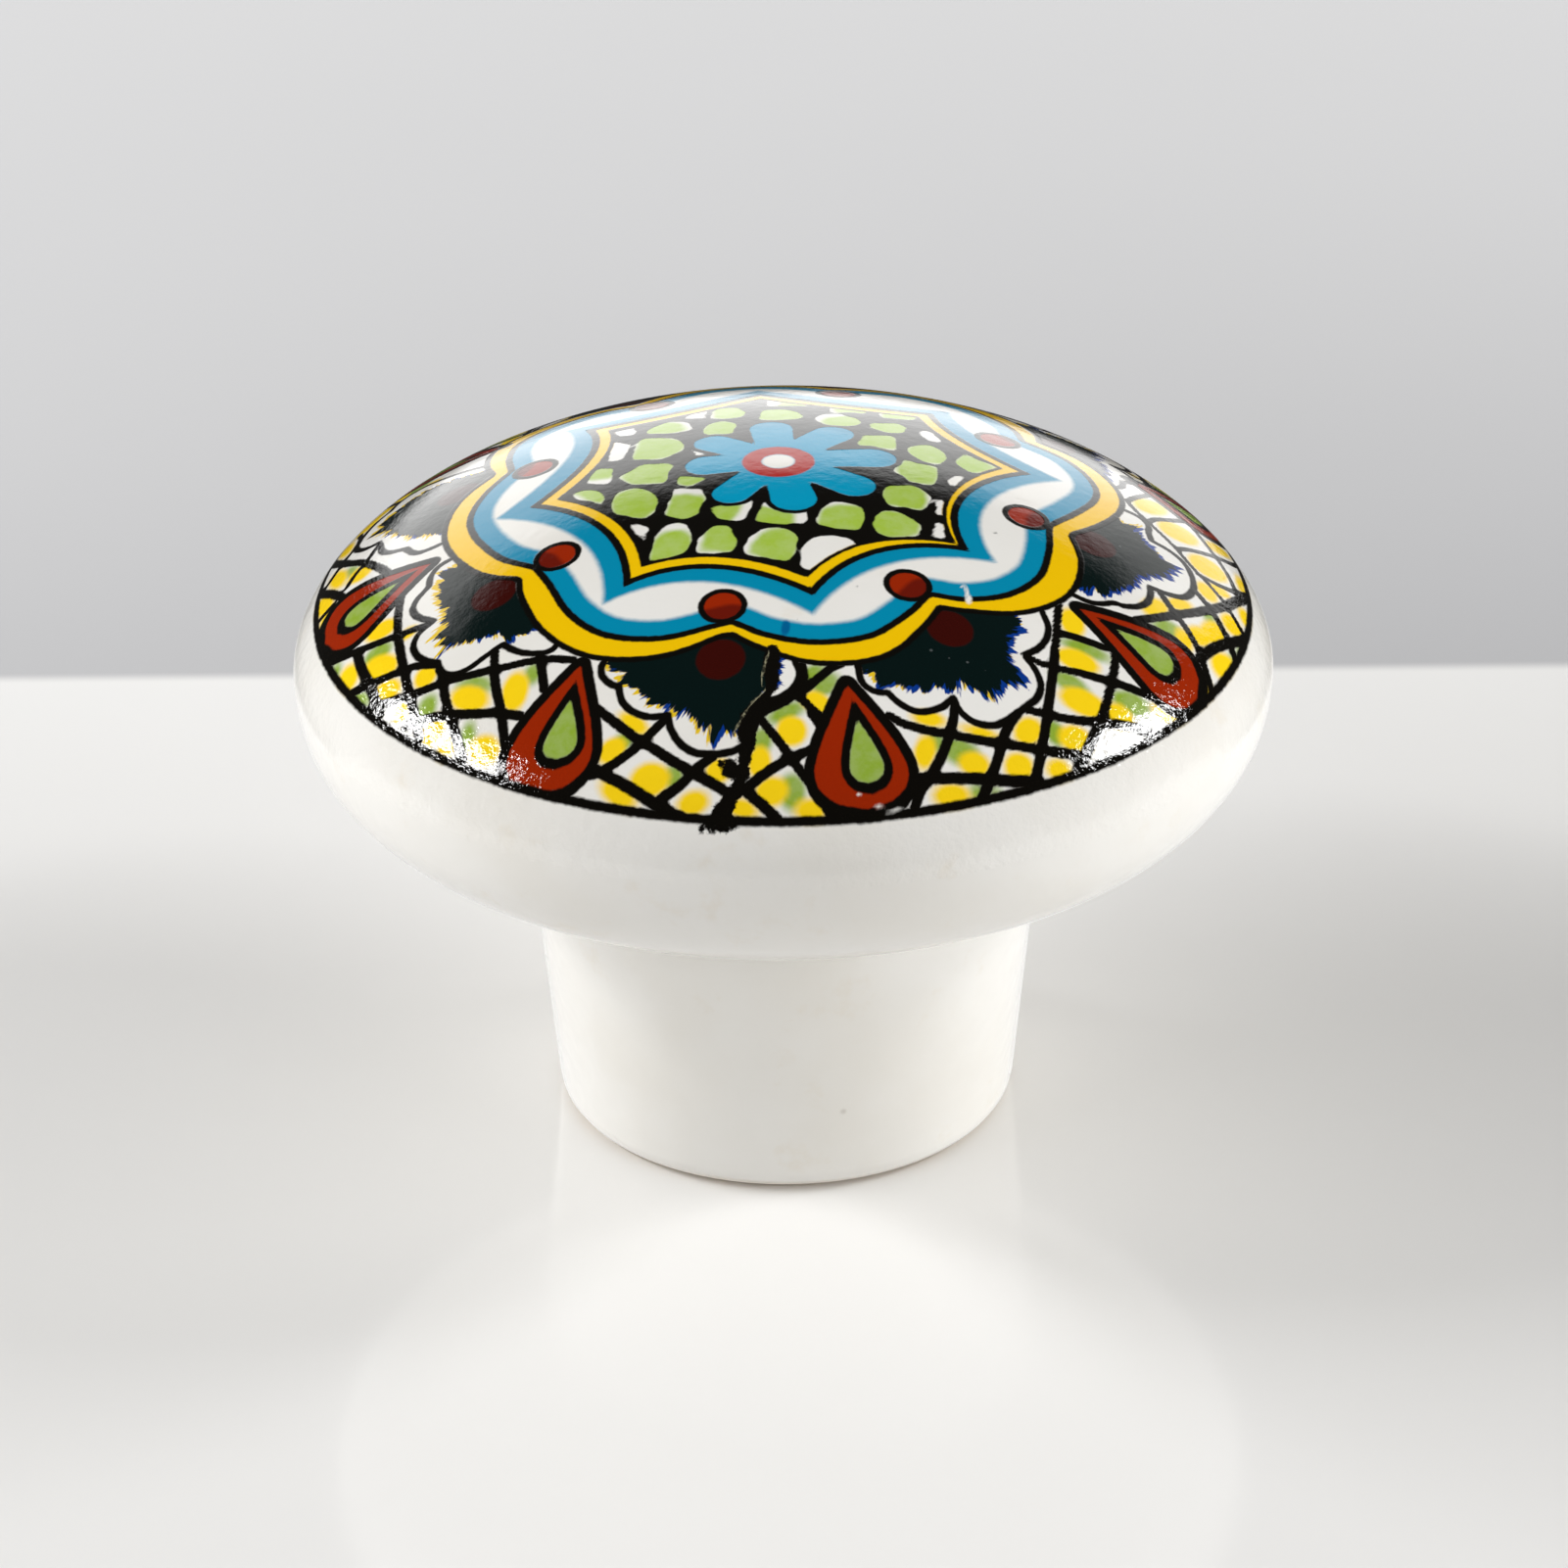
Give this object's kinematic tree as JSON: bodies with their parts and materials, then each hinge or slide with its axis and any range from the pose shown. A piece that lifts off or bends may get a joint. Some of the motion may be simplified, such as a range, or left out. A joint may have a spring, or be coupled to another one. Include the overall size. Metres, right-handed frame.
{
  "type": "cabinet knob",
  "caption": "Bun-headed glazed ceramic cabinet knob with a folk-style floral print on the head, a tapering stem and a threaded brass insert in the foot.",
  "frame": {"origin": "middle of the foot, on the plane that seats against the drawer or door", "axes": "+Z along the knob's axis, away from the drawer front towards the top of the head; the knob is round, so +X and +Y are free"},
  "size_m": [0.04, 0.04, 0.0286],
  "materials": {
    "glazed_ceramic": "white gloss glaze, with a print fired into it over the head and a bare foot",
    "insert_brass": "turned and tapped, left bare"
  },
  "bodies": {
    "root": {"knob_body": "glazed_ceramic", "threaded_insert": "insert_brass"}
  },
  "joints": []
}
